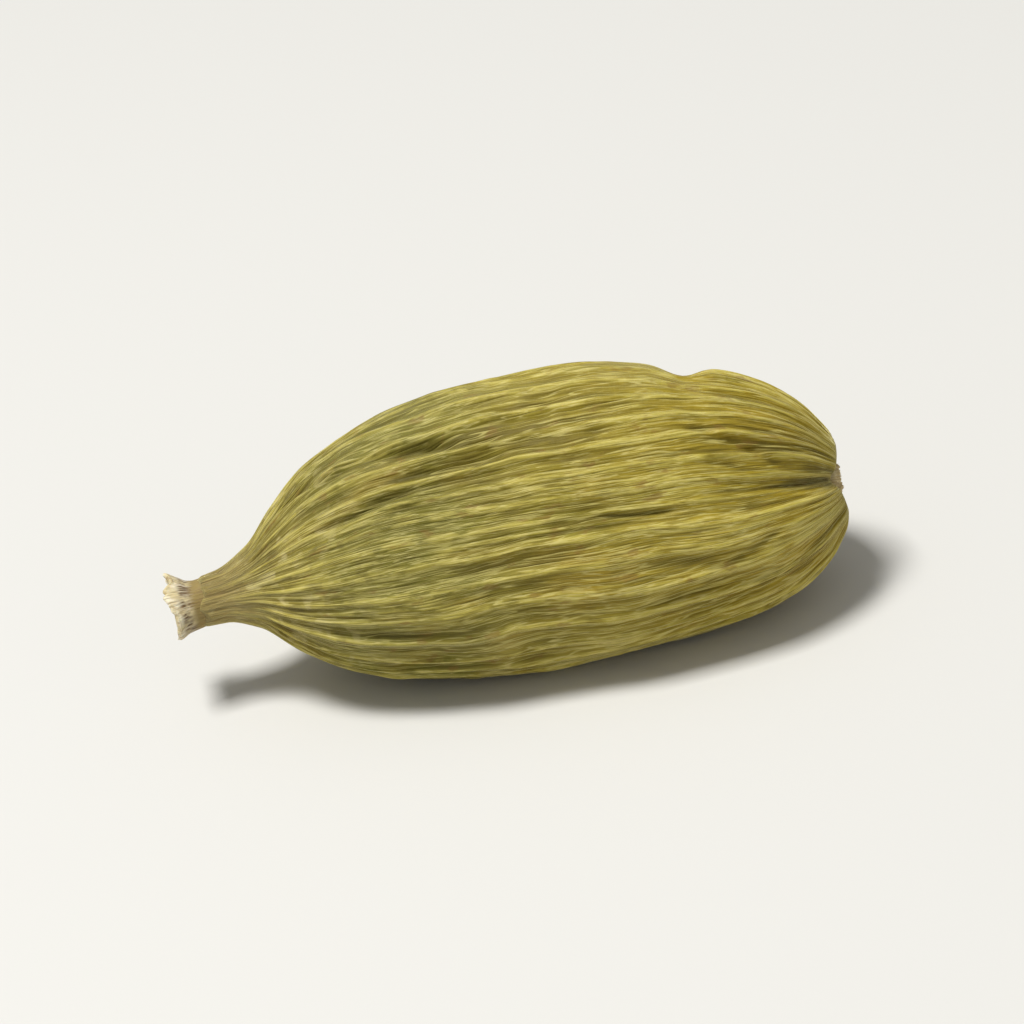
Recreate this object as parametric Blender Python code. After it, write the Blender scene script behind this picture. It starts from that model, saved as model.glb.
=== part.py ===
"""A dried green cardamom pod lying on one of its three faces.

The pod's own axis runs along +X from the beak to the base, and its section is a blunt triangle with its angles called
corners here: one on top, two at the bottom. Each piece starts as a sphere whose poles lie on that axis. Its vertices are
moved onto a surface given by two numbers: u, the place along a profile, and q, the place round it, counted in ribs.
Everything is worked out in millimetres in the pod's own frame, then laid down at rest in metres.
"""

import math

import bmesh
import bpy
import numpy as np

MM = 0.001
SEED = 7

# The husk's profile from the beak to the base, as (distance from the beak's mouth, half the width), in millimetres.
# It starts at the middle of the beak's cut end and ends at the middle of the floor of the base's dimple.
HUSK_PROFILE = (
    (0.78, 0.0),
    (0.78, 0.52),
    (0.92, 0.64),
    (1.55, 0.68),
    (2.35, 1.05),
    (3.20, 1.88),
    (4.40, 2.74),
    (6.20, 3.35),
    (8.50, 3.67),
    (10.80, 3.78),
    (13.00, 3.60),
    (15.00, 3.24),
    (16.50, 2.58),
    (17.45, 1.72),
    (17.85, 1.02),
    (17.72, 0.56),
    (17.32, 0.46),
    (17.30, 0.0),
)
FIRST_BODY_STATION = 2.0
LAST_BODY_STATION = 14.6
LENGTH = 18.0
BELLY_HALF_WIDTH = 3.78

# The three corners of the section, and the bow of the axis towards one side.
CORNER_ANGLE = math.radians(90)
CORNER_SHARE = 0.066
BOW = 0.50
BOW_ANGLE = math.radians(60)

# The ribs: about 0.65 mm apart round the belly, running from end to end and closing up at both.
RIBS = 36
RIB_DEPTH = 0.105
FULL_RIB_HALF_WIDTH = 2.6
RIB_SPACING_SPREAD = 0.16
RIB_DEPTH_SPREAD = (0.45, 1.45)
RIB_DEPTH_POINTS = 9
RIB_TWIST = math.radians(5)

# The creases that part the base into three lobes, in the middle of each face.
CREASE_DEPTH = 0.42
CREASE_START = 13.6
CREASE_FULL = 17.2
CREASE_HALF_ANGLE = math.radians(12)
LOBE_REACH = 0.14

# A shallow dent in the top edge near the base, and the slow unevenness of a dried fruit.
DENT_DEPTH = 0.30
DENT_AT = 14.3
DENT_HALF_LENGTH = 0.55
DENT_ANGLE = math.radians(66)
DENT_HALF_ANGLE = math.radians(26)
UNEVENNESS = 0.055

# The underside is pressed flat where it touches.
FLAT_DEPTH = 0.17

# The calyx remnant: a cup open at the beak's mouth, with a ragged lip. Its root stands just clear of the beak.
COLLAR_PROFILE = (
    (0.58, 0.0),
    (0.56, 0.34),
    (0.42, 0.50),
    (0.22, 0.66),
    (0.04, 0.80),
    (0.03, 0.92),
    (0.20, 0.90),
    (0.42, 0.76),
    (0.64, 0.65),
    (0.76, 0.50),
    (0.76, 0.0),
)
COLLAR_TEETH = 5
COLLAR_TOOTH_LENGTH = 0.16
COLLAR_WAVE = 0.045
COLLAR_LIP_STATION = 4.5
COLLAR_LIP_REACH = 3.0

# The stalk stub: a short peg with a broken, slightly hollow end, standing just clear of the dimple.
STUB_PROFILE = (
    (17.33, 0.0),
    (17.33, 0.30),
    (17.45, 0.39),
    (17.80, 0.41),
    (17.96, 0.36),
    (17.92, 0.20),
    (17.88, 0.0),
)
STUB_SIDES_UNEVEN = 0.02

HUSK_SEGMENTS_PER_RIB = 4
HUSK_RINGS_PER_STATION = 2
COLLAR_SEGMENTS = 40
COLLAR_RINGS_PER_STATION = 2
STUB_SEGMENTS = 24
STUB_RINGS_PER_STATION = 2

HUSK_COLOUR = (0.300, 0.270, 0.062, 1.0)
CALYX_COLOUR = (0.560, 0.430, 0.250, 1.0)
STUB_COLOUR = (0.430, 0.330, 0.170, 1.0)


def clear_scene():
    for obj in list(bpy.data.objects):
        bpy.data.objects.remove(obj, do_unlink=True)


def along(profile, u):
    """The profile's point at u, where whole values of u are its listed points.

    A cubic that never overshoots joins the points: its slope at each is the harmonic mean of the steps on both sides,
    or level where they turn back.
    """
    points = np.array(profile)
    steps = np.diff(points, axis=0)
    before, after = steps[:-1], steps[1:]
    same_way = before * after > 0
    total = np.where(same_way, before + after, 1.0)
    inner = np.where(same_way, 2 * before * after / total, 0.0)
    slopes = np.concatenate([steps[:1], inner, steps[-1:]])
    start = np.clip(np.floor(u).astype(int), 0, len(points) - 2)
    t = (u - start)[..., None]
    rise = t * t * (3 - 2 * t)
    leave = t * (1 - t) ** 2
    arrive = t * t * (t - 1)
    ends = points[start] * (1 - rise) + points[start + 1] * rise
    return ends + slopes[start] * leave + slopes[start + 1] * arrive


def eased(value, low, high):
    """0 below low, 1 above high, and a smooth step between them."""
    t = np.clip((value - low) / (high - low), 0, 1)
    return t * t * (3 - 2 * t)


def bump(value, centre, half_width):
    """1 at the centre, falling away on both sides as a bell curve."""
    return np.exp(-(((value - centre) / half_width) ** 2))


def angle_between(angle, other):
    """The signed angle from other to angle, between minus and plus half a turn."""
    return (angle - other + math.pi) % (2 * math.pi) - math.pi


def rib_crests(rng):
    """The angle of each rib's crest, unevenly spaced, ending with the first one again a full turn on."""
    gaps = 1 + RIB_SPACING_SPREAD * rng.uniform(-1, 1, RIBS)
    return np.concatenate([[0.0], np.cumsum(gaps)]) * (2 * math.pi / gaps.sum())


def husk_surface(u, q):
    """The husk at u along its profile and q ribs round it, in millimetres in the pod's own frame.

    The half width is the profile's times a blunt three-cornered section, less the groove between two ribs, the crease
    in the middle of each face near the base, and the dent. The groove's depth follows a cosine from crest to crest,
    and each groove deepens and fades along the pod in its own way.
    """
    rng = np.random.default_rng(SEED)
    crests = rib_crests(rng)
    depths = rng.uniform(*RIB_DEPTH_SPREAD, (RIBS, RIB_DEPTH_POINTS))
    waves = rng.uniform(0, 2 * math.pi, 4)

    x, half_width = np.moveaxis(along(HUSK_PROFILE, u), -1, 0)
    angle = np.interp(q, np.arange(RIBS + 1), crests) + RIB_TWIST * (x / LENGTH - 0.5)
    corners = np.cos(3 * (angle - CORNER_ANGLE))
    body = eased(u, FIRST_BODY_STATION - 1, FIRST_BODY_STATION + 1)
    body = body * (1 - eased(u, LAST_BODY_STATION - 1, LAST_BODY_STATION))
    fullness = half_width / BELLY_HALF_WIDTH
    radius = half_width * (1 + CORNER_SHARE * corners * fullness)

    groove = q.astype(int) % RIBS
    place = x / LENGTH * (RIB_DEPTH_POINTS - 1)
    first = np.clip(np.floor(place).astype(int), 0, RIB_DEPTH_POINTS - 2)
    mix = eased(place - first, 0, 1)
    own_depth = depths[groove, first] * (1 - mix) + depths[groove, first + 1] * mix
    relief = RIB_DEPTH * body * np.clip(half_width / FULL_RIB_HALF_WIDTH, 0, 1)
    radius = radius - relief * own_depth * (1 - np.cos(2 * math.pi * q)) / 2

    face_middle = (angle - CORNER_ANGLE) % (2 * math.pi / 3) - math.pi / 3
    towards_base = eased(x, CREASE_START, CREASE_FULL) * body
    crease = towards_base * bump(face_middle, 0, CREASE_HALF_ANGLE)
    radius = radius - CREASE_DEPTH * crease

    dent = bump(x, DENT_AT, DENT_HALF_LENGTH) * bump(angle_between(angle, DENT_ANGLE), 0, DENT_HALF_ANGLE)
    radius = radius - DENT_DEPTH * dent
    slow = np.sin(2 * angle + 0.5 * x + waves[0]) + np.sin(angle - 0.8 * x + waves[1])
    slow = slow + 0.6 * np.sin(4 * angle + 0.9 * x + waves[2]) + 0.5 * np.sin(3 * angle - 1.5 * x + waves[3])
    radius = radius + UNEVENNESS * slow * fullness * body

    at_rim = bump(u, 14.0, 1.1)
    x = x + LOBE_REACH * at_rim * (corners - 1) / 2
    return bowed(x, radius, angle)


def bowed(x, radius, angle):
    """A point at this radius and angle round the pod's bowed axis, which is a half wave from end to end."""
    bow = BOW * np.sin(math.pi * np.clip(x / LENGTH, 0, 1))
    y = radius * np.cos(angle) + bow * math.cos(BOW_ANGLE)
    z = radius * np.sin(angle) + bow * math.sin(BOW_ANGLE)
    return np.stack([x, y, z], axis=-1)


def collar_surface(u, q):
    """The calyx remnant at u along its profile and q of a turn round it: a flared cup whose lip is torn into teeth."""
    rng = np.random.default_rng(SEED + 1)
    x, radius = np.moveaxis(along(COLLAR_PROFILE, u), -1, 0)
    angle = 2 * math.pi * q
    phases = rng.uniform(0, 2 * math.pi, 3)
    torn = np.sin(COLLAR_TEETH * angle + phases[0]) + 0.8 * np.sin(2 * angle + phases[1])
    torn = torn + 0.4 * np.sin((2 * COLLAR_TEETH + 1) * angle + phases[2])
    at_lip = bump(u, COLLAR_LIP_STATION, COLLAR_LIP_REACH) * (x < 0.5)
    x = x + COLLAR_TOOTH_LENGTH * at_lip * (torn + 1.2) / 2
    radius = radius * (1 + COLLAR_WAVE * at_lip * torn)
    return bowed(x, radius, angle)


def stub_surface(u, q):
    """The stalk stub at u along its profile and q of a turn round it: a short peg, not quite round."""
    x, radius = np.moveaxis(along(STUB_PROFILE, u), -1, 0)
    angle = 2 * math.pi * q
    radius = radius * (1 + STUB_SIDES_UNEVEN * np.cos(3 * angle))
    return bowed(x, radius, angle)


def sphere_on_surface(name, surface, turns, segments, stations, rings_per_station, collection):
    """A new object: a sphere whose rings and columns are moved onto surface(u, q)."""
    rings = (stations - 1) * rings_per_station
    mesh = bpy.data.meshes.new(name)
    builder = bmesh.new()
    bmesh.ops.create_uvsphere(builder, u_segments=segments, v_segments=rings, radius=1)
    builder.to_mesh(mesh)
    builder.free()
    co = np.empty(len(mesh.vertices) * 3)
    mesh.vertices.foreach_get("co", co)
    co = co.reshape(-1, 3)
    ring = np.rint(np.arccos(np.clip(co[:, 2], -1, 1)) / math.pi * rings)
    column = np.rint(np.arctan2(co[:, 1], co[:, 0]) / (2 * math.pi) * segments) % segments
    points = surface(ring / rings_per_station, column / segments * turns)
    mesh.vertices.foreach_set("co", points.ravel())
    piece = bpy.data.objects.new(name, mesh)
    collection.objects.link(piece)
    return piece, points


def finish(piece, material_name, colour, roughness):
    """Gives the piece its dry plant finish."""
    material = bpy.data.materials.new(material_name)
    material.use_nodes = True
    shader = material.node_tree.nodes["Principled BSDF"]
    shader.inputs["Base Color"].default_value = colour
    shader.inputs["Roughness"].default_value = roughness
    shader.inputs["Metallic"].default_value = 0.0
    material.diffuse_color = colour
    piece.data.materials.append(material)


def lay_down(made):
    """Presses the underside flat and puts the origin on it, under the middle of the pod's outline."""
    floor = min(points[:, 2].min() for _, points in made) + FLAT_DEPTH
    corners = np.array([(points.min(axis=0), points.max(axis=0)) for _, points in made])
    middle = (corners[:, 0].min(axis=0) + corners[:, 1].max(axis=0)) / 2
    origin = np.array([middle[0], middle[1], floor])
    for piece, points in made:
        rested = np.maximum(points - origin, (-np.inf, -np.inf, 0))
        piece.data.vertices.foreach_set("co", (rested * MM).ravel())
        piece.data.flip_normals()
        piece.data.shade_smooth()
        piece.data.update()


def main():
    clear_scene()
    pod = bpy.data.collections.new("green_cardamom_pod")
    bpy.context.scene.collection.children.link(pod)
    husk = sphere_on_surface(
        "husk",
        husk_surface,
        turns=RIBS,
        segments=RIBS * HUSK_SEGMENTS_PER_RIB,
        stations=len(HUSK_PROFILE),
        rings_per_station=HUSK_RINGS_PER_STATION,
        collection=pod,
    )
    collar = sphere_on_surface(
        "calyx_remnant",
        collar_surface,
        turns=1,
        segments=COLLAR_SEGMENTS,
        stations=len(COLLAR_PROFILE),
        rings_per_station=COLLAR_RINGS_PER_STATION,
        collection=pod,
    )
    stub = sphere_on_surface(
        "stalk_stub",
        stub_surface,
        turns=1,
        segments=STUB_SEGMENTS,
        stations=len(STUB_PROFILE),
        rings_per_station=STUB_RINGS_PER_STATION,
        collection=pod,
    )
    lay_down([husk, collar, stub])
    finish(husk[0], "dry husk", HUSK_COLOUR, 0.6)
    finish(collar[0], "dry calyx", CALYX_COLOUR, 0.8)
    finish(stub[0], "broken stalk", STUB_COLOUR, 0.85)


main()
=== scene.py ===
"""A dried green cardamom pod lying on one of its three faces, seen square on to the face in front.

Sizes are in millimetres in the pod's own frame, whose x runs from the lip of the collar to the base,
until a mesh is made.
"""

import math

import bpy
import numpy as np
from mathutils import Euler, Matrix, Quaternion, Vector


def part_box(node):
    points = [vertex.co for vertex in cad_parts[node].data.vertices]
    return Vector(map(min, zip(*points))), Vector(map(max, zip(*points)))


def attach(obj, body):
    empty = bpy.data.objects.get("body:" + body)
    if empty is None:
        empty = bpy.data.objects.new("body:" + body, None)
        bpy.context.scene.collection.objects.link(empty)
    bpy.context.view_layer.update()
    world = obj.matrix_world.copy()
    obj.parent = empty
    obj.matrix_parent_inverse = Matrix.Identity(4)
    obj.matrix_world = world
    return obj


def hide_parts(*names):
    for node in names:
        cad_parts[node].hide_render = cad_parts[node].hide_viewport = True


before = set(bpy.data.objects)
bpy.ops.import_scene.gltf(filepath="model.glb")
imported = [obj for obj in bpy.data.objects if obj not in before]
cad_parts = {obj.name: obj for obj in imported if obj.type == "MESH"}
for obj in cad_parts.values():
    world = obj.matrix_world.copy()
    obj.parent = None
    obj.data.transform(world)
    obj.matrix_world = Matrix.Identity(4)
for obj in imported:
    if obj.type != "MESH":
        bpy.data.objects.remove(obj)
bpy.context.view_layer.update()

# The husk.
# The real one is the closed wall of a dried fruit: papery, three-angled, drawn out into a beak and ribbed by
# its veins. It grew in one piece and shrank as it dried, which sharpened the ribs and made it uneven.

MM = 0.001
SEED = 7
LENGTH = 18.0
# From the beak's cut end over the belly and into the dimple. Its points are called stations below, and a span
# is counted in them. The ribs and the relief set in and end between the two body stations at each end.
HUSK_PROFILE = (
    (0.78, 0.0),
    (0.78, 0.52),
    (0.92, 0.64),
    (1.55, 0.68),
    (2.35, 1.05),
    (3.20, 1.88),
    (4.40, 2.74),
    (6.20, 3.35),
    (8.50, 3.67),
    (10.80, 3.78),
    (13.00, 3.60),
    (15.00, 3.24),
    (16.50, 2.58),
    (17.45, 1.72),
    (17.85, 1.02),
    (17.72, 0.56),
    (17.32, 0.46),
    (17.30, 0.0),
)
BODY_START_STATIONS = (1.0, 3.0)
BODY_END_STATIONS = (13.6, 14.6)
HUSK_RINGS = 182
HUSK_COLUMNS_PER_RIB = 15

# The blunt three-cornered section, with a corner on top, the bow of the pod's axis and its slow waves: for
# each wave its share, how often it rises in a turn round the pod, and its drift along it.
BELLY_HALF_WIDTH = 3.78
CORNER_ANGLE = math.radians(90)
CORNER_SHARE = 0.066
BOW = 0.50
BOW_ANGLE = math.radians(60)
UNEVENNESS = 0.055
SLOW_WAVES = ((1.0, 2, 0.5), (1.0, 1, -0.8), (0.6, 4, 0.9), (0.5, 3, -1.5))

# The ribs. Crest widths and the wander are in ribs. The size of a random pattern, here and below, is in
# millimetres across the ribs and along them.
RIBS = 36
RIB_DEPTH = 0.116
RIB_CORNER_SHARE = 0.22
RIB_START_HALF_WIDTHS = (0.6, 1.6)
FULL_RIB_HALF_WIDTH = 1.9
RIB_SPACING_SPREAD = 0.16
RIB_DEPTH_SPREAD = (0.45, 1.45)
RIB_DEPTH_POINTS = 9
RIB_TWIST = math.radians(5)
RIB_WANDER = 0.32
WANDER_SIZE = (1.5, 3.6)
RIB_WAVER = 0.07
WAVER_SIZE = (0.6, 1.0)
RIB_FADE = 0.7
FADE_SIZE = (1.1, 2.4)
CREST_HALF_WIDTH = 0.18
CREST_UNEVENNESS = 0.25
CREST_SIZE = (0.7, 1.4)
LESSER_CREST_HALF_WIDTH = 0.11
LESSER_CREST_SHARE = 0.5
LESSER_CREST_REACH = 0.3
LESSER_CREST_SIZE = (0.8, 3.4)

# The crease in the middle of each face, which parts the base into three lobes, the sharp groove down it,
# the notch where it meets the rim of the dimple, and the ruffled wall of the dimple.
CREASE_DEPTH = 0.42
CREASE_START = 13.6
CREASE_FULL = 17.2
CREASE_HALF_ANGLE = math.radians(12)
CREASE_FADE = 1.2
GROOVE_DEPTH = 0.26
GROOVE_HALF_WIDTH = 0.20
GROOVE_START = 15.4
GROOVE_FULL = 17.0
NOTCH_DEPTH = 0.24
LOBE_REACH = 0.14
RIM_STATION = 14.0
RIM_HALF_SPAN = 1.1
DIMPLE_HALF_WIDTH = HUSK_PROFILE[-2][1]
DIMPLE_RUFFLE = 0.06
DIMPLE_STATION = 15.2
DIMPLE_HALF_SPAN = 1.2

# The dent in the back edge, and the frayed end of the beak. One ragged pattern frays it and ruffles the
# dimple, drawn on a ring of this radius.
DENT_DEPTH = 0.30
DENT_AT = 14.3
DENT_HALF_LENGTH = 0.55
DENT_ANGLE = math.radians(66)
DENT_HALF_ANGLE = math.radians(26)
BEAK_END_FRAY = 0.16
BEAK_END_STATION = 1.5
BEAK_END_HALF_SPAN = 0.8
RAGGED_RADIUS = 0.6
RAGGED_SIZE = (0.25, 2.0)

# Each furrow's start and end, as a place along the pod and an angle round it in degrees, and its depth. It
# fades from the first distance outside an end to the second inside it.
FURROWS = (
    ((3.5, 98), (8.4, 110), 0.22),
    ((8.0, 112), (12.2, 117), 0.12),
    ((4.2, 131), (7.2, 124), 0.16),
    ((6.2, 118), (9.4, 121), 0.09),
    ((10.0, 152), (13.4, 155), 0.10),
    ((13.9, 116), (16.4, 138), 0.10),
    ((13.4, 131), (15.6, 142), 0.07),
    ((4.8, 190), (7.6, 194), 0.07),
    ((14.2, 186), (16.2, 172), 0.08),
    ((6.0, 340), (11.5, 335), 0.10),
    ((7.0, 40), (13.0, 36), 0.10),
    ((12.2, 60), (16.0, 46), 0.09),
)
FURROW_FADE = (0.3, 0.7)
FURROW_HALF_WIDTH = 0.13
FURROW_WOBBLE = 0.10
FURROW_WOBBLE_SIZE = (20.0, 0.9)

# The fine relief: veins, puckers, lumps and the folds that run along the neck.
VEIN_HEIGHT = 0.034
VEIN_SIZE = (0.38, 2.4)
VEIN_SHARPNESS = 0.20
PUCKER_HEIGHT = 0.024
PUCKER_SIZE = (0.55, 0.34)
CREST_PUCKER_SHARE = 0.4
LEAST_FINE_SIZE = 0.3
LUMP_HEIGHT = 0.06
LUMP_SIZE = (1.9, 2.2)
NECK_END_HALF_WIDTHS = (0.8, 1.9)
NECK_FOLDS = 11
NECK_FOLD_HEIGHT = 0.050
FOLD_BEND = 1.5
FOLD_BEND_SIZE = (3.0, 1.2)
FOLD_SHARE = 0.6
FOLD_SHARE_SPREAD = 0.7
FOLD_SIZE = (1.6, 1.1)

# Where hollow, which the finish follows, painting shade into valleys, furrows and folds, sets in, what it is
# in the shallowest valley, and how much each other form adds to it or takes from it.
HOLLOW_START_HALF_WIDTHS = (0.5, 2.0)
SHALLOW_VALLEY_HOLLOW = 0.3
CREASE_HOLLOW = 0.2
GROOVE_HOLLOW = 0.4
FURROW_HOLLOW = 0.45
VEIN_HOLLOW = -0.35
FOLD_HOLLOW = 0.30


def along(profile, u):
    """The profile's point at u, where whole values of u are its listed points: a cubic between each two,
    whose slope at a point is the harmonic mean of the steps on both sides, or level where they turn back."""
    points = np.array(profile)
    steps = np.diff(points, axis=0)
    before, after = steps[:-1], steps[1:]
    same_way = before * after > 0
    total = np.where(same_way, before + after, 1.0)
    inner = np.where(same_way, 2 * before * after / total, 0.0)
    slopes = np.concatenate([steps[:1], inner, steps[-1:]])
    start = np.clip(np.floor(u).astype(int), 0, len(points) - 2)
    t = (u - start)[..., None]
    rise = t * t * (3 - 2 * t)
    ends = points[start] * (1 - rise) + points[start + 1] * rise
    return ends + slopes[start] * t * (1 - t) ** 2 + slopes[start + 1] * t * t * (t - 1)


def eased(value, low, high):
    """0 below low, 1 above high, and a smooth step between them."""
    t = np.clip((value - low) / (high - low), 0, 1)
    return t * t * (3 - 2 * t)


def bump(value, centre, half_width):
    """1 at the centre, falling away on both sides as a bell curve."""
    return np.exp(-(((value - centre) / half_width) ** 2))


def angle_from(middle, angle):
    """How far an angle is past the middle one, from half a turn before it to half a turn after."""
    return (angle - middle + math.pi) % (2 * math.pi) - math.pi


# The lattice of a random pattern repeats after this many corners, which is further than the pod reaches in
# the finest one. It is turned about x, y and z, so that its rows don't show.
LATTICE_CORNERS = 64
LATTICE_TURN = (0.6, 0.8, 0.5)


def lumps(places, size, seed):
    """A smooth random height from -1 to 1, drawn out to size[0] across the pod and size[1] along it.

    Each corner of a turned unit lattice has a value drawn from the pattern's own seed. A place takes the
    values of the eight corners round it, weighted by eased distances.
    """
    lattice = np.random.default_rng(SEED + seed).uniform(-1, 1, (LATTICE_CORNERS,) * 3)
    turned = np.array(Euler(LATTICE_TURN).to_matrix())
    scaled = places / np.array([size[0], size[0], size[1]]) @ turned
    corner = np.floor(scaled).astype(int)
    weight = eased(scaled - corner, 0, 1)
    height = np.zeros(places.shape[:-1])
    for step in np.ndindex(2, 2, 2):
        share = np.prod(np.where(np.array(step), weight, 1 - weight), axis=-1)
        at = (corner + step) % LATTICE_CORNERS
        height += share * lattice[at[..., 0], at[..., 1], at[..., 2]]
    return height


def on_cylinder(radius, angle, x):
    """The place at that angle and x on a cylinder of that radius, where random patterns have no seam."""
    return np.stack([radius * np.cos(angle), radius * np.sin(angle), x], axis=-1)


def bowed(x, radius, angle):
    """A point at this radius and angle round the pod's bowed axis, which is a half wave from end to end."""
    bow = BOW * np.sin(math.pi * np.clip(x / LENGTH, 0, 1))
    y = radius * np.cos(angle) + bow * math.cos(BOW_ANGLE)
    z = radius * np.sin(angle) + bow * math.sin(BOW_ANGLE)
    return np.stack([x, y, z], axis=-1)


def drawn_ribs():
    """What chance gives the ribs: the angle of each crest, ending a full turn past the first, the depths of
    each valley at even places along the pod, and where each slow wave starts."""
    rng = np.random.default_rng(SEED)
    gaps = 1 + RIB_SPACING_SPREAD * rng.uniform(-1, 1, RIBS)
    crests = np.concatenate([[0.0], np.cumsum(gaps)]) * (2 * math.pi / gaps.sum())
    depths = rng.uniform(*RIB_DEPTH_SPREAD, (RIBS, RIB_DEPTH_POINTS))
    wave_starts = rng.uniform(0, 2 * math.pi, len(SLOW_WAVES))
    return crests, depths, wave_starts


def valley(q, x, place, fibre, depths):
    """How low a place at q ribs round the pod lies, from 0 on a crest to 1 between two, and how deep its
    valley is.

    A crest is a bell curve across the rib, of uneven height, and half way between two a lesser one comes
    and goes. The depth passes smoothly from one of the valley's depths to the next, and fades in places.
    """
    gap = np.floor(q).astype(int) % RIBS
    depth_place = x / LENGTH * (RIB_DEPTH_POINTS - 1)
    first = np.clip(np.floor(depth_place).astype(int), 0, RIB_DEPTH_POINTS - 2)
    mix = eased(depth_place - first, 0, 1)
    depth = depths[gap, first] * (1 - mix) + depths[gap, first + 1] * mix
    depth = depth * (1 + RIB_FADE * lumps(place, FADE_SIZE, seed=11))
    from_crest = np.abs(q - np.round(q))
    crest = bump(from_crest, 0, CREST_HALF_WIDTH)
    crest = crest * (1 + CREST_UNEVENNESS * lumps(fibre, CREST_SIZE, seed=3))
    shows = np.clip(LESSER_CREST_REACH + lumps(fibre, LESSER_CREST_SIZE, seed=4), 0, 1)
    lesser_crest = bump(from_crest, 0.5, LESSER_CREST_HALF_WIDTH) * shows
    return 1 - np.maximum(crest, LESSER_CREST_SHARE * lesser_crest), depth


def furrow(start, end, x, angle, half_width, wobble):
    """1 on the line of a furrow from start to end, falling away to both sides as a bell curve and fading at
    both ends. wobble is how far the line strays to the side."""
    (start_x, start_degrees), (end_x, end_degrees) = start, end
    reached = np.clip((x - start_x) / (end_x - start_x), 0, 1)
    middle = np.radians(start_degrees + (end_degrees - start_degrees) * reached)
    aside = half_width * angle_from(middle, angle) + wobble
    outside, inside = FURROW_FADE
    begun = eased(x, start_x - outside, start_x + inside)
    ended = eased(x, end_x - inside, end_x + outside)
    return bump(aside, 0, FURROW_HALF_WIDTH) * (begun * (1 - ended))


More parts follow.
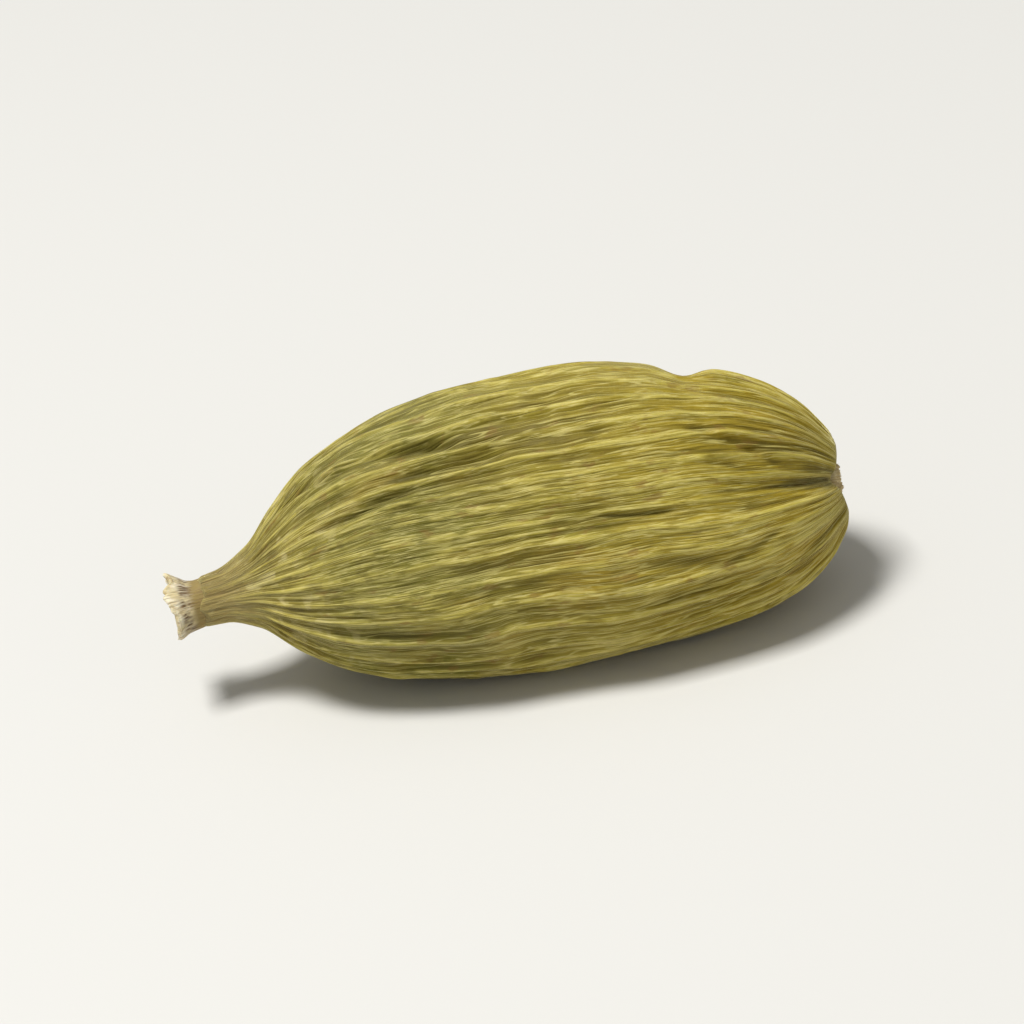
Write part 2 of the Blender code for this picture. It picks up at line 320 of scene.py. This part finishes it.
def husk_surface(u, q):
    """The husk at u along its profile and q ribs round it, with the attributes that its finish follows.

    Its radius is the profile's half width times the three-cornered section, less the valley between two
    ribs, which is deepest on the corners, less the creases, grooves, dent and furrows, plus the slow waves,
    the veins, the puckers, the lumps and the folds of the neck. Along the pod the lobes reach past the
    dimple, with a notch between each two, and the beak's end is frayed.

    fibre is the place on a cylinder as wide as the belly, turned as the ribs wander, so that a pattern on it
    follows them and narrows to the ends as they do. hollow is 0 on a crest and 1 in the deepest valley. scar
    is 1 in the middle of the dent.
    """
    crests, depths, wave_starts = drawn_ribs()
    x, half_width = np.moveaxis(along(HUSK_PROFILE, u), -1, 0)
    angle = np.interp(q, np.arange(RIBS + 1), crests) + RIB_TWIST * (x / LENGTH - 0.5)
    corners = np.cos(3 * (angle - CORNER_ANGLE))
    body = eased(u, *BODY_START_STATIONS) * (1 - eased(u, *BODY_END_STATIONS))
    fullness = half_width / BELLY_HALF_WIDTH
    radius = half_width * (1 + CORNER_SHARE * corners * fullness)

    place = on_cylinder(BELLY_HALF_WIDTH, angle, x)
    wander = RIB_WANDER * lumps(place, WANDER_SIZE, seed=1) + RIB_WAVER * lumps(place, WAVER_SIZE, seed=2)
    fibre = on_cylinder(BELLY_HALF_WIDTH, angle + wander * 2 * math.pi / RIBS, x)
    dip, own_depth = valley(q + wander, x, place, fibre, depths)
    size_here = np.clip(half_width / FULL_RIB_HALF_WIDTH, 0, 1) * eased(half_width, *RIB_START_HALF_WIDTHS)
    depth_here = RIB_DEPTH * (1 + RIB_CORNER_SHARE * corners) * body * size_here
    radius = radius - depth_here * own_depth * dip
    own_hollow = SHALLOW_VALLEY_HOLLOW + (1 - SHALLOW_VALLEY_HOLLOW) * own_depth / RIB_DEPTH_SPREAD[1]
    hollow = dip * own_hollow * eased(half_width, *HOLLOW_START_HALF_WIDTHS)

    face_middle = (angle - CORNER_ANGLE) % (2 * math.pi / 3) - math.pi / 3
    to_dimple = np.clip((half_width - DIMPLE_HALF_WIDTH) / CREASE_FADE, 0, 1)
    crease = eased(x, CREASE_START, CREASE_FULL) * to_dimple * bump(face_middle, 0, CREASE_HALF_ANGLE)
    notch = bump(face_middle * half_width, 0, GROOVE_HALF_WIDTH)
    groove = eased(x, GROOVE_START, GROOVE_FULL) * notch * to_dimple
    radius = radius - CREASE_DEPTH * crease - GROOVE_DEPTH * groove
    scar = bump(x, DENT_AT, DENT_HALF_LENGTH) * bump(angle_from(DENT_ANGLE, angle), 0, DENT_HALF_ANGLE)
    radius = radius - DENT_DEPTH * scar
    slow = 0
    for (share, rises, drift), wave_start in zip(SLOW_WAVES, wave_starts):
        slow = slow + share * np.sin(rises * angle + drift * x + wave_start)
    radius = radius + UNEVENNESS * slow * fullness * body
    hollow = hollow + CREASE_HOLLOW * crease + GROOVE_HOLLOW * groove

    wobble = FURROW_WOBBLE * lumps(place, FURROW_WOBBLE_SIZE, seed=5)
    for start, end, depth in FURROWS:
        sunk = furrow(start, end, x, angle, half_width, wobble)
        radius = radius - depth * sunk * body
        hollow = hollow + FURROW_HOLLOW * sunk

    vein = bump(lumps(fibre, VEIN_SIZE, seed=6), 0, VEIN_SHARPNESS)
    pucker = lumps(fibre, PUCKER_SIZE, seed=7) * (CREST_PUCKER_SHARE + (1 - CREST_PUCKER_SHARE) * dip)
    fine_size = np.maximum(size_here, LEAST_FINE_SIZE)
    relief = (VEIN_HEIGHT * vein + PUCKER_HEIGHT * pucker) * fine_size
    relief = relief + LUMP_HEIGHT * lumps(place, LUMP_SIZE, seed=8) * fullness
    neck = 1 - eased(half_width, *NECK_END_HALF_WIDTHS)
    bend = FOLD_BEND * lumps(fibre, FOLD_BEND_SIZE, seed=9)
    fold = 2 * np.abs(np.cos(NECK_FOLDS / 2 * angle + bend)) - 1
    fold = fold * (FOLD_SHARE + FOLD_SHARE_SPREAD * lumps(fibre, FOLD_SIZE, seed=12))
    relief = relief + NECK_FOLD_HEIGHT * neck * fold
    radius = radius + relief * body
    hollow = hollow + VEIN_HOLLOW * vein * fine_size + FOLD_HOLLOW * neck * (1 - fold)

    ragged = lumps(on_cylinder(RAGGED_RADIUS, angle, u), RAGGED_SIZE, seed=10)
    radius = radius + DIMPLE_RUFFLE * bump(u, DIMPLE_STATION, DIMPLE_HALF_SPAN) * ragged
    reach = LOBE_REACH * (corners - 1) / 2 - NOTCH_DEPTH * notch
    x = x + bump(u, RIM_STATION, RIM_HALF_SPAN) * reach
    x = x + BEAK_END_FRAY * bump(u, BEAK_END_STATION, BEAK_END_HALF_SPAN) * (1 + ragged)
    return bowed(x, radius, angle), {"fibre": fibre, "hollow": np.clip(hollow, 0, 1), "scar": scar}


# A profile's length is measured on this many short straight steps for each of its points.
FINE_STEPS = 40


def evenly_spaced(profile, rings):
    """The values of u that part the profile into that many steps of equal length."""
    fine = np.linspace(0, len(profile) - 1, FINE_STEPS * len(profile))
    lengths = np.linalg.norm(np.diff(along(profile, fine), axis=0), axis=1)
    travelled = np.concatenate([[0.0], np.cumsum(lengths)])
    return np.interp(np.linspace(0, travelled[-1], rings + 1), travelled, fine)


def closed_skin(name, points, attributes):
    """A mesh object from a grid of points, whose first and last rows are its two poles and whose columns
    close round. attributes are grids of a vector or a number for each point, by name, for the material."""
    rows, columns = points.shape[:2]

    def with_poles(grid):
        """The grid's rows as one list, with each end row drawn together to its middle."""
        ends = grid[[0, -1]].mean(axis=1)
        inner = grid[1:-1].reshape((rows - 2) * columns, *grid.shape[2:])
        return np.concatenate([ends[:1], inner, ends[1:]])

    index = 1 + np.arange((rows - 2) * columns).reshape(rows - 2, columns)
    beside = np.roll(index, -1, axis=1)
    quads = np.stack([index[:-1], index[1:], beside[1:], beside[:-1]], axis=-1).reshape(-1, 4)
    pole, far_pole = 0, 1 + index.size
    fan = np.stack([np.full(columns, pole), index[0], beside[0]], axis=-1)
    far_fan = np.stack([np.full(columns, far_pole), beside[-1], index[-1]], axis=-1)
    mesh = bpy.data.meshes.new(name)
    mesh.from_pydata(with_poles(points) * MM, [], [*fan.tolist(), *quads.tolist(), *far_fan.tolist()])
    for title, grid in attributes.items():
        kind, field = ("FLOAT_VECTOR", "vector") if grid.ndim == 3 else ("FLOAT", "value")
        mesh.attributes.new(title, kind, "POINT").data.foreach_set(field, with_poles(grid).ravel())
    mesh.shade_smooth()
    mesh.update()
    piece = bpy.data.objects.new(name, mesh)
    bpy.context.scene.collection.objects.link(piece)
    return piece


husk_u = evenly_spaced(HUSK_PROFILE, HUSK_RINGS)
husk_q = np.arange(RIBS * HUSK_COLUMNS_PER_RIB) / HUSK_COLUMNS_PER_RIB
husk_points, husk_attributes = husk_surface(*np.meshgrid(husk_u, husk_q, indexing="ij"))

# The frame's origin in the pod's own frame, where the beak's cut end, the middle of the husk's width and its
# top come to lie where the CAD node has them. What would reach below the floor is flat on it.
husk_low, husk_high = (np.array(corner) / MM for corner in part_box("husk"))
beak_end = HUSK_PROFILE[0][0]
middle_y = (husk_points[..., 1].min() + husk_points[..., 1].max() - husk_low[1] - husk_high[1]) / 2
origin = np.array([beak_end - husk_low[0], middle_y, husk_points[..., 2].max() - husk_high[2]])
husk_points = np.maximum(husk_points - origin, (-np.inf, -np.inf, 0))
husk = closed_skin("pod_husk", husk_points, husk_attributes)


def linear(hex_colour):
    """An sRGB hex colour as the linear colour that a shader takes."""
    channels = (int(hex_colour[i : i + 2], 16) / 255 for i in (1, 3, 5))
    return (*(c / 12.92 if c <= 0.04045 else ((c + 0.055) / 1.055) ** 2.4 for c in channels), 1.0)


def node(tree, kind, settings=None, **inputs):
    """Adds a node with its settings. Each input, named by its identifier, takes a value, or a link from a
    socket or from the first socket that another node has in use."""
    made = tree.nodes.new(kind)
    for setting, value in (settings or {}).items():
        setattr(made, setting, value)
    for title, value in inputs.items():
        socket = next(s for s in made.inputs if s.identifier.replace(" ", "_") == title)
        if isinstance(value, bpy.types.Node):
            value = next(s for s in value.outputs if s.enabled)
        if isinstance(value, bpy.types.NodeSocket):
            tree.links.new(value, socket)
        else:
            socket.default_value = value
    return made


# Nearly all the values of a random pattern lie between these two. Each pattern is shifted from the one
# before it, so that no two are alike.
PATTERN_LOW = 0.3
PATTERN_MIDDLE = 0.5
PATTERN_HIGH = 0.7
PATTERN_ROUGHNESS = 0.55
PATTERN_SHIFT = 7.3


def dry_plant_tissue(name, attributes, sizes, lines, base, layers, relief, roughness):
    """A material for dry plant tissue, which follows the piece's attributes: fibre, and the numbers named
    in attributes.

    sizes gives each random pattern's width across the fibres and length along them in millimetres, and its
    detail. Those named in lines are folded at their middle value, so that they peak at 0.5 on thin lines
    that part and join. The colour is base under layers: each is a colour, its share, and the patterns that
    let it through, with the two values between which each does so. An attribute is a pattern too, and so is
    along, the place along the fibres. relief is a height in millimetres for each pattern that raises the
    surface. roughness is a pattern and the roughness at its low and high end.
    """
    material = bpy.data.materials.new(name)
    material.use_nodes = True
    tree = material.node_tree
    tree.nodes.clear()
    fibre = node(tree, "ShaderNodeAttribute", {"attribute_name": "fibre"}).outputs["Vector"]
    patterns = {"along": node(tree, "ShaderNodeSeparateXYZ", Vector=fibre).outputs["Z"]}
    for title in attributes:
        patterns[title] = node(tree, "ShaderNodeAttribute", {"attribute_name": title}).outputs["Fac"]
    for number, (title, (across, length, detail)) in enumerate(sizes.items()):
        scaled = node(
            tree,
            "ShaderNodeMapping",
            Vector=fibre,
            Scale=(1 / across, 1 / across, 1 / length),
            Rotation=LATTICE_TURN,
            Location=(PATTERN_SHIFT * number,) * 3,
        )
        patterns[title] = node(
            tree, "ShaderNodeTexNoise", Vector=scaled, Scale=1.0, Detail=detail, Roughness=PATTERN_ROUGHNESS
        )
        if title in lines:
            fold = {"operation": "PINGPONG"}
            patterns[title] = node(
                tree, "ShaderNodeMath", fold, Value=patterns[title], Value_001=PATTERN_MIDDLE
            )
    colour = linear(base)
    for tint, share, masks in layers:
        for title, low, high in masks:
            share = node(
                tree,
                "ShaderNodeMapRange",
                {"interpolation_type": "SMOOTHSTEP"},
                Value=patterns[title],
                From_Min=low,
                From_Max=high,
                To_Max=share,
            )
        colour = node(
            tree,
            "ShaderNodeMix",
            {"data_type": "RGBA"},
            Factor_Float=share,
            A_Color=colour,
            B_Color=linear(tint),
        )
    height = 0.0
    for title, raised in relief.items():
        height = node(
            tree,
            "ShaderNodeMath",
            {"operation": "MULTIPLY_ADD"},
            Value=patterns[title],
            Value_001=raised,
            Value_002=height,
        )
    title, low, high = roughness
    rough = node(
        tree,
        "ShaderNodeMapRange",
        Value=patterns[title],
        From_Min=PATTERN_LOW,
        From_Max=PATTERN_HIGH,
        To_Min=low,
        To_Max=high,
    )
    normal = node(tree, "ShaderNodeBump", Strength=1.0, Distance=MM, Height=height)
    shader = node(tree, "ShaderNodeBsdfPrincipled", Base_Color=colour, Roughness=rough, Normal=normal)
    node(tree, "ShaderNodeOutputMaterial", Surface=shader)
    return material, shader


# Dried capsule wall, a thin skin of cellulose fibres: olive where sap dried in it, straw on the ribs, where
# it is thickest, brightened there by painted highlight, darker in the valleys, furrows and neck folds, partly
# its own colour and partly painted shade, and tan on the neck, with a soft bloom seen edge on. Real fibres
# are about
# 0.02 mm across, too fine to show, so fibres, threads and grain are drawn several times coarser.
papery_husk, husk_shader = dry_plant_tissue(
    "dry papery husk",
    attributes=("hollow", "scar"),
    sizes={
        "patches": (3.4, 5.0, 2.0),
        "drifts": (2.2, 3.4, 2.0),
        "streaks": (0.24, 1.1, 3.0),
        "dashes": (0.28, 0.62, 3.0),
        "fibres": (0.16, 2.8, 2.0),
        "threads": (0.075, 1.6, 2.0),
        "puckers": (0.36, 0.16, 2.0),
        "grain": (0.09, 0.14, 3.0),
        "scuffs": (0.36, 0.7, 3.0),
        "blotches": (0.95, 0.55, 2.0),
    },
    lines=("fibres", "threads"),
    base="#8A7C26",
    layers=(
        # Green patches and straw drifts, yellower towards the base, tan on the neck, greenest behind it.
        ("#747624", 0.55, (("patches", 0.44, 0.66),)),
        ("#A08028", 0.50, (("drifts", 0.50, 0.66),)),
        ("#A88E1A", 0.65, (("along", 9.0, 15.5),)),
        ("#877A36", 0.75, (("along", 5.0, 2.6),)),
        ("#9C8550", 0.90, (("along", 3.0, 1.5),)),
        ("#666622", 0.50, (("along", 3.2, 5.2), ("along", 10.5, 7.0), ("drifts", 0.68, 0.44))),
        # Pale crests, their straw colour with painted highlight, and dark valleys, their own darker colour
        # with painted shade, both broken up, painted shade at the bottom of the deepest valleys and furrows,
        # and dark streaks.
        ("#BEAF52", 0.80, (("hollow", 0.45, 0.05), ("dashes", 0.34, 0.54))),
        ("#5C4E14", 0.78, (("hollow", 0.36, 0.88), ("streaks", 0.66, 0.44))),
        ("#524716", 0.38, (("hollow", 0.82, 1.00),)),
        ("#5A5216", 0.40, (("streaks", 0.46, 0.34),)),
        # A thin bloom, which softens them on the belly.
        ("#93832A", 0.24, (("along", 6.5, 9.5), ("along", 16.4, 14.8))),
        # Pale fibres, a mottled shoulder, and thin washes of green over it and of tan on the neck.
        ("#CDC070", 0.58, (("fibres", 0.465, 0.492),)),
        ("#D0C284", 0.66, (("blotches", 0.53, 0.63), ("streaks", 0.40, 0.58), ("along", 6.5, 3.2))),
        ("#645826", 0.52, (("blotches", 0.46, 0.37), ("streaks", 0.62, 0.44), ("along", 7.5, 4.0))),
        ("#64622A", 0.28, (("along", 3.0, 5.0), ("along", 9.8, 7.2))),
        ("#A08655", 0.50, (("along", 2.7, 1.2),)),
        # Pale and dark threads, brown scuffs and the brown spot in the dent.
        ("#D8CB84", 0.45, (("threads", 0.46, 0.495), ("hollow", 0.90, 0.30))),
        ("#5C4E14", 0.40, (("threads", 0.42, 0.34),)),
        ("#80602A", 0.45, (("scuffs", 0.60, 0.70),)),
        ("#7E5630", 0.75, (("scar", 0.45, 0.95), ("streaks", 0.62, 0.40))),
    ),
    relief={"streaks": 0.030, "fibres": 0.110, "threads": 0.050, "puckers": 0.020, "grain": 0.006},
    roughness=("patches", 0.56, 0.72),
)
husk_shader.inputs["Specular IOR Level"].default_value = 0.28
husk_shader.inputs["IOR"].default_value = 1.45
husk_shader.inputs["Subsurface Weight"].default_value = 0.12
husk_shader.inputs["Subsurface Radius"].default_value = (0.5, 0.4, 0.15)
husk_shader.inputs["Subsurface Scale"].default_value = 0.5 * MM
husk_shader.inputs["Sheen Weight"].default_value = 0.8
husk_shader.inputs["Sheen Roughness"].default_value = 0.3
husk_shader.inputs["Sheen Tint"].default_value = linear("#F0E6A8")
husk.data.materials.append(papery_husk)
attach(husk, "root")
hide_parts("husk")

# The calyx remnant.
# The real one is what is left of the flower on the fruit's tip: a short tube of thin dead tissue that dried,
# tore at its lip and turned outwards. Its root grew round the tip of the beak, and clasps it.

# From down in the cup over the lip, along the outside and in round the beak.
COLLAR_PROFILE = (
    (0.66, 0.0),
    (0.64, 0.32),
    (0.50, 0.50),
    (0.27, 0.67),
    (0.12, 0.79),
    (0.03, 0.89),
    (0.10, 0.93),
    (0.28, 0.86),
    (0.48, 0.75),
    (0.66, 0.67),
    (0.88, 0.63),
    (1.10, 0.60),
    (1.14, 0.45),
    (1.14, 0.0),
)
COLLAR_RINGS = 110
COLLAR_COLUMNS = 300
COLLAR_STATION_LENGTH = 0.20
COLLAR_FIBRE_RADIUS = 0.8
COLLAR_WALL_RADII = (0.3, 0.6)
COLLAR_ROOT_STATIONS = (10.3, 11.2)

# The torn lip: its tears, the finer snags between them and the way it leans, as patterns on a ring.
LIP_STATION = 5.4
LIP_HALF_SPAN = 2.3
LIP_RADIUS = 1.0
LIP_TEAR = 0.30
TEAR_SIZE = (0.55, 1.0)
TEAR_PINCH = 0.08
SNAG_SHARE = 0.35
SNAG_SIZE = (0.21, 1.0)
LIP_LEAN = 0.16
LEAN_SIZE = (0.6, 1.0)

# The veins down the cup and the rumples of its wall.
COLLAR_VEINS = 16
COLLAR_VEIN_HEIGHT = 0.014
COLLAR_VEIN_SIZE = (0.5, 0.6)
COLLAR_VEIN_BEND = 4
COLLAR_VEIN_BEND_SIZE = (0.6, 0.5)
RUMPLE_HEIGHT = 0.045
RUMPLE_SIZE = (0.35, 0.25)


def collar_surface(u, turn):
    """The calyx remnant at u along its profile and that much of a turn round it, with its attributes.

    A flared cup whose lip is torn: tears and snags cut it where two random heights that change round the lip
    alone pass zero, and it leans in and out by another. Veins, which bend and fade, run down the cup and
    stand out on both its sides, and its wall is rumpled. hollow is 1 between two veins.
    """
    x, radius = np.moveaxis(along(COLLAR_PROFILE, u), -1, 0)
    angle = 2 * math.pi * turn
    lip = on_cylinder(LIP_RADIUS, angle, 0 * angle)
    fibre = on_cylinder(COLLAR_FIBRE_RADIUS, angle, u * COLLAR_STATION_LENGTH)
    at_lip = bump(u, LIP_STATION, LIP_HALF_SPAN)
    tear = (1 - np.abs(lumps(lip, TEAR_SIZE, seed=20))) ** 3
    tear = tear + SNAG_SHARE * (1 - np.abs(lumps(lip, SNAG_SIZE, seed=21))) ** 2
    bend = COLLAR_VEIN_BEND * lumps(fibre, COLLAR_VEIN_BEND_SIZE, seed=23)
    vein = np.cos(COLLAR_VEINS * angle + bend) * lumps(fibre, COLLAR_VEIN_SIZE, seed=26)
    wall = eased(radius, *COLLAR_WALL_RADII) * (1 - eased(u, *COLLAR_ROOT_STATIONS))
    outwards = np.where(u > LIP_STATION, 1, -1)
    radius = radius * (1 + at_lip * (LIP_LEAN * lumps(lip, LEAN_SIZE, seed=22) - TEAR_PINCH * tear))
    radius = radius + wall * COLLAR_VEIN_HEIGHT * vein * outwards
    radius = radius + wall * RUMPLE_HEIGHT * lumps(fibre, RUMPLE_SIZE, seed=24)
    x = x + LIP_TEAR * np.clip(tear, 0, 1) * at_lip**2
    return bowed(x, radius, angle), {"fibre": fibre, "hollow": (1 - vein) / 2}


collar_u = evenly_spaced(COLLAR_PROFILE, COLLAR_RINGS)
collar_turn = np.arange(COLLAR_COLUMNS) / COLLAR_COLUMNS
collar_points, collar_attributes = collar_surface(*np.meshgrid(collar_u, collar_turn, indexing="ij"))
collar = closed_skin("pod_calyx", collar_points - origin, collar_attributes)

# Dead petal and sepal bases, thin and matt: bleached to cream at the lip and the colour of the husk at its
# root, with brown painted shade down in the cup and round its waist, and painted shade between its veins. Its
# fibres are drawn coarser too.
flower_tissue, flower_shader = dry_plant_tissue(
    "dead flower tissue",
    attributes=("hollow",),
    sizes={"clouds": (0.35, 0.5, 3.0), "threads": (0.05, 0.7, 3.0), "grain": (0.06, 0.10, 3.0)},
    lines=(),
    base="#D4C497",
    layers=(
        ("#EDE4C8", 0.85, (("clouds", 0.38, 0.60),)),
        # Painted shade: darkest brown down in the cup, and a brown band of it round the waist behind the lip.
        ("#4A341D", 1.00, (("along", 0.85, 0.40),)),
        ("#5E4526", 0.95, (("along", 1.44, 1.66), ("clouds", 0.34, 0.52), ("threads", 0.64, 0.46))),
        ("#948049", 0.95, (("along", 1.78, 2.00),)),
        # Painted shade between the veins.
        ("#9A7A50", 0.45, (("hollow", 0.50, 0.95),)),
        ("#6E5030", 0.55, (("threads", 0.52, 0.68),)),
    ),
    relief={"threads": 0.028, "grain": 0.008},
    roughness=("clouds", 0.65, 0.85),
)
flower_shader.inputs["IOR"].default_value = 1.4
flower_shader.inputs["Subsurface Weight"].default_value = 0.2
flower_shader.inputs["Subsurface Radius"].default_value = (0.5, 0.35, 0.2)
flower_shader.inputs["Subsurface Scale"].default_value = 0.3 * MM
collar.data.materials.append(flower_tissue)
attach(collar, "root")
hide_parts("calyx_remnant")

# The stalk stub.
# The real one is the end of the short stalk that joined the fruit to its stem. It snapped off in picking,
# which left a pale peg of broken fibres down in the dimple between the three lobes of the base.

# From its root in the dimple along its side to the middle of its broken end.
STUB_PROFILE = (
    (17.10, 0.0),
    (17.10, 0.36),
    (17.36, 0.44),
    (17.64, 0.43),
    (17.77, 0.40),
    (17.82, 0.34),
    (17.78, 0.22),
    (17.76, 0.0),
)
STUB_RINGS = 80
STUB_COLUMNS = 170
STUB_OUTLINE = 0.18
STUB_OUTLINE_SIZE = (0.26, 5.0)

# The bundles of fibre, which show down to where the side ends, with their height as a share of the radius.
# In the broken end the bundles and the strands in them each have a share of its height, and splinters cut in.
STUB_SIDE_STATIONS = (4.5, 5.5)
BUNDLES = 9
BUNDLE_HEIGHT = 0.05
BUNDLE_SIZE = (0.3, 0.5)
BUNDLE_BEND = 4
BUNDLE_BEND_SIZE = (0.5, 0.4)
STUB_BREAK_STATIONS = (2.8, 4.4)
STUB_BREAK = 0.10
BROKEN_BUNDLE_SHARE = 0.9
BROKEN_BUNDLE_SIZE = (0.17, 5.0)
BROKEN_STRAND_SHARE = 0.5
BROKEN_STRAND_SIZE = (0.05, 5.0)
SPLINTER_HEIGHT = 0.05
SPLINTER_SIZE = (0.04, 5.0)
STUB_MIDDLE_HOLLOW = 0.5
STUB_HOLLOW_SPREAD = 0.6


def stub_surface(u, turn):
    """The stalk stub at u along its profile and that much of a turn round it, with its attributes.

    A peg of uneven outline with bundles of fibre down its side. Its broken end stands up by one random
    height for the bundles, a finer one for their strands and the finest for splinters. hollow is 0 on the
    highest places and 1 in the deepest.
    """
    x, radius = np.moveaxis(along(STUB_PROFILE, u), -1, 0)
    angle = 2 * math.pi * turn
    fibre = on_cylinder(radius, angle, x)
    broken = eased(u, *STUB_BREAK_STATIONS)
    ends = BROKEN_BUNDLE_SHARE * lumps(fibre, BROKEN_BUNDLE_SIZE, seed=30)
    ends = ends + BROKEN_STRAND_SHARE * np.abs(lumps(fibre, BROKEN_STRAND_SIZE, seed=33))
    bend = BUNDLE_BEND * lumps(fibre, BUNDLE_BEND_SIZE, seed=31)
    bundles = np.cos(BUNDLES * angle + bend) * lumps(fibre, BUNDLE_SIZE, seed=34)
    side = 1 - eased(u, *STUB_SIDE_STATIONS)
    outline = STUB_OUTLINE * lumps(fibre, STUB_OUTLINE_SIZE, seed=32)
    radius = radius * (1 + BUNDLE_HEIGHT * bundles * side + outline)
    splinters = SPLINTER_HEIGHT * (lumps(fibre, SPLINTER_SIZE, seed=35) - 1)
    x = x + broken * (STUB_BREAK * ends + splinters)
    hollow = STUB_MIDDLE_HOLLOW - STUB_HOLLOW_SPREAD * np.where(broken > 0.5, ends, bundles)
    return bowed(x, radius, angle), {"fibre": fibre, "hollow": np.clip(hollow, 0, 1)}


stub_u = evenly_spaced(STUB_PROFILE, STUB_RINGS)
stub_turn = np.arange(STUB_COLUMNS) / STUB_COLUMNS
stub_points, stub_attributes = stub_surface(*np.meshgrid(stub_u, stub_turn, indexing="ij"))
stub = closed_skin("pod_stalk_stub", stub_points - origin, stub_attributes)

# Snapped stalk, dry bundles of fibre: pale where they broke, with brown painted shade between them and in the
# low places of the broken end.
stalk_fibre, stalk_shader = dry_plant_tissue(
    "broken stalk fibre",
    attributes=("hollow",),
    sizes={"bundles": (0.05, 0.6, 3.0), "clouds": (0.22, 0.22, 2.0)},
    lines=(),
    base="#C4AE7C",
    layers=(
        ("#DCCDA2", 0.70, (("bundles", 0.45, 0.62),)),
        # Painted shade between the bundles and in the lowest places of the broken end.
        ("#6E4F2C", 0.85, (("hollow", 0.50, 0.90),)),
        ("#94774A", 0.60, (("clouds", 0.50, 0.70),)),
    ),
    relief={"bundles": 0.015},
    roughness=("clouds", 0.70, 0.85),
)
stalk_shader.inputs["IOR"].default_value = 1.4
stub.data.materials.append(stalk_fibre)
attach(stub, "root")
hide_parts("stalk_stub")

# The floor, the light and the camera.
# A plain pale board under soft light from above and to the left, seen through a long lens from as far as the
# lens asks. These sizes are in metres, but the lens and its sensor are in millimetres.

FLOOR_SIZE = 4.0
bpy.ops.mesh.primitive_plane_add(size=FLOOR_SIZE)
floor = bpy.context.object
floor.name = "floor"
board = bpy.data.materials.new("pale matt board")
board.use_nodes = True
board.node_tree.nodes["Principled BSDF"].inputs["Base Color"].default_value = linear("#D6D4CE")
board.node_tree.nodes["Principled BSDF"].inputs["Roughness"].default_value = 0.8
floor.data.materials.append(board)

world = bpy.data.worlds.new("soft room")
bpy.context.scene.world = world
world.use_nodes = True
world.node_tree.nodes["Background"].inputs["Color"].default_value = linear("#F2F4F6")
world.node_tree.nodes["Background"].inputs["Strength"].default_value = 0.35

LAMP_AIM = Vector((0, 0, 0.003))


def soft_lamp(name, place, size, power):
    """A square lamp of that size and power in watts at that place, aimed at the pod."""
    light = bpy.data.lights.new(name, "AREA")
    light.size = size
    light.energy = power
    lamp = bpy.data.objects.new(name, light)
    lamp.location = place
    lamp.rotation_euler = (LAMP_AIM - Vector(place)).to_track_quat("-Z", "Y").to_euler()
    bpy.context.scene.collection.objects.link(lamp)


soft_lamp("key", place=(-0.07, -0.02, 0.26), size=0.08, power=0.78)
soft_lamp("fill", place=(0.2, -0.2, 0.1), size=0.2, power=0.05)

CAMERA_ELEVATION = math.radians(30)
PICTURE_SLOPE = math.radians(11.2)
LENS = 200.0
SENSOR = 36.0
VIEW_WIDTH = 26.5 * MM
husk_middle = (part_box("husk")[0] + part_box("husk")[1]) / 2
back = Vector((0, -math.cos(CAMERA_ELEVATION), math.sin(CAMERA_ELEVATION)))
camera = bpy.data.objects.new("camera", bpy.data.cameras.new("camera"))
camera.data.lens = LENS
camera.data.sensor_width = SENSOR
camera.data.clip_start = 0.01
camera.data.clip_end = 10.0
camera.location = husk_middle + back * (VIEW_WIDTH * LENS / SENSOR)
camera.rotation_mode = "QUATERNION"
camera.rotation_quaternion = (-back).to_track_quat("-Z", "Y") @ Quaternion((0, 0, 1), -PICTURE_SLOPE)
bpy.context.scene.collection.objects.link(camera)
bpy.context.scene.camera = camera
bpy.context.scene.view_settings.view_transform = "Standard"
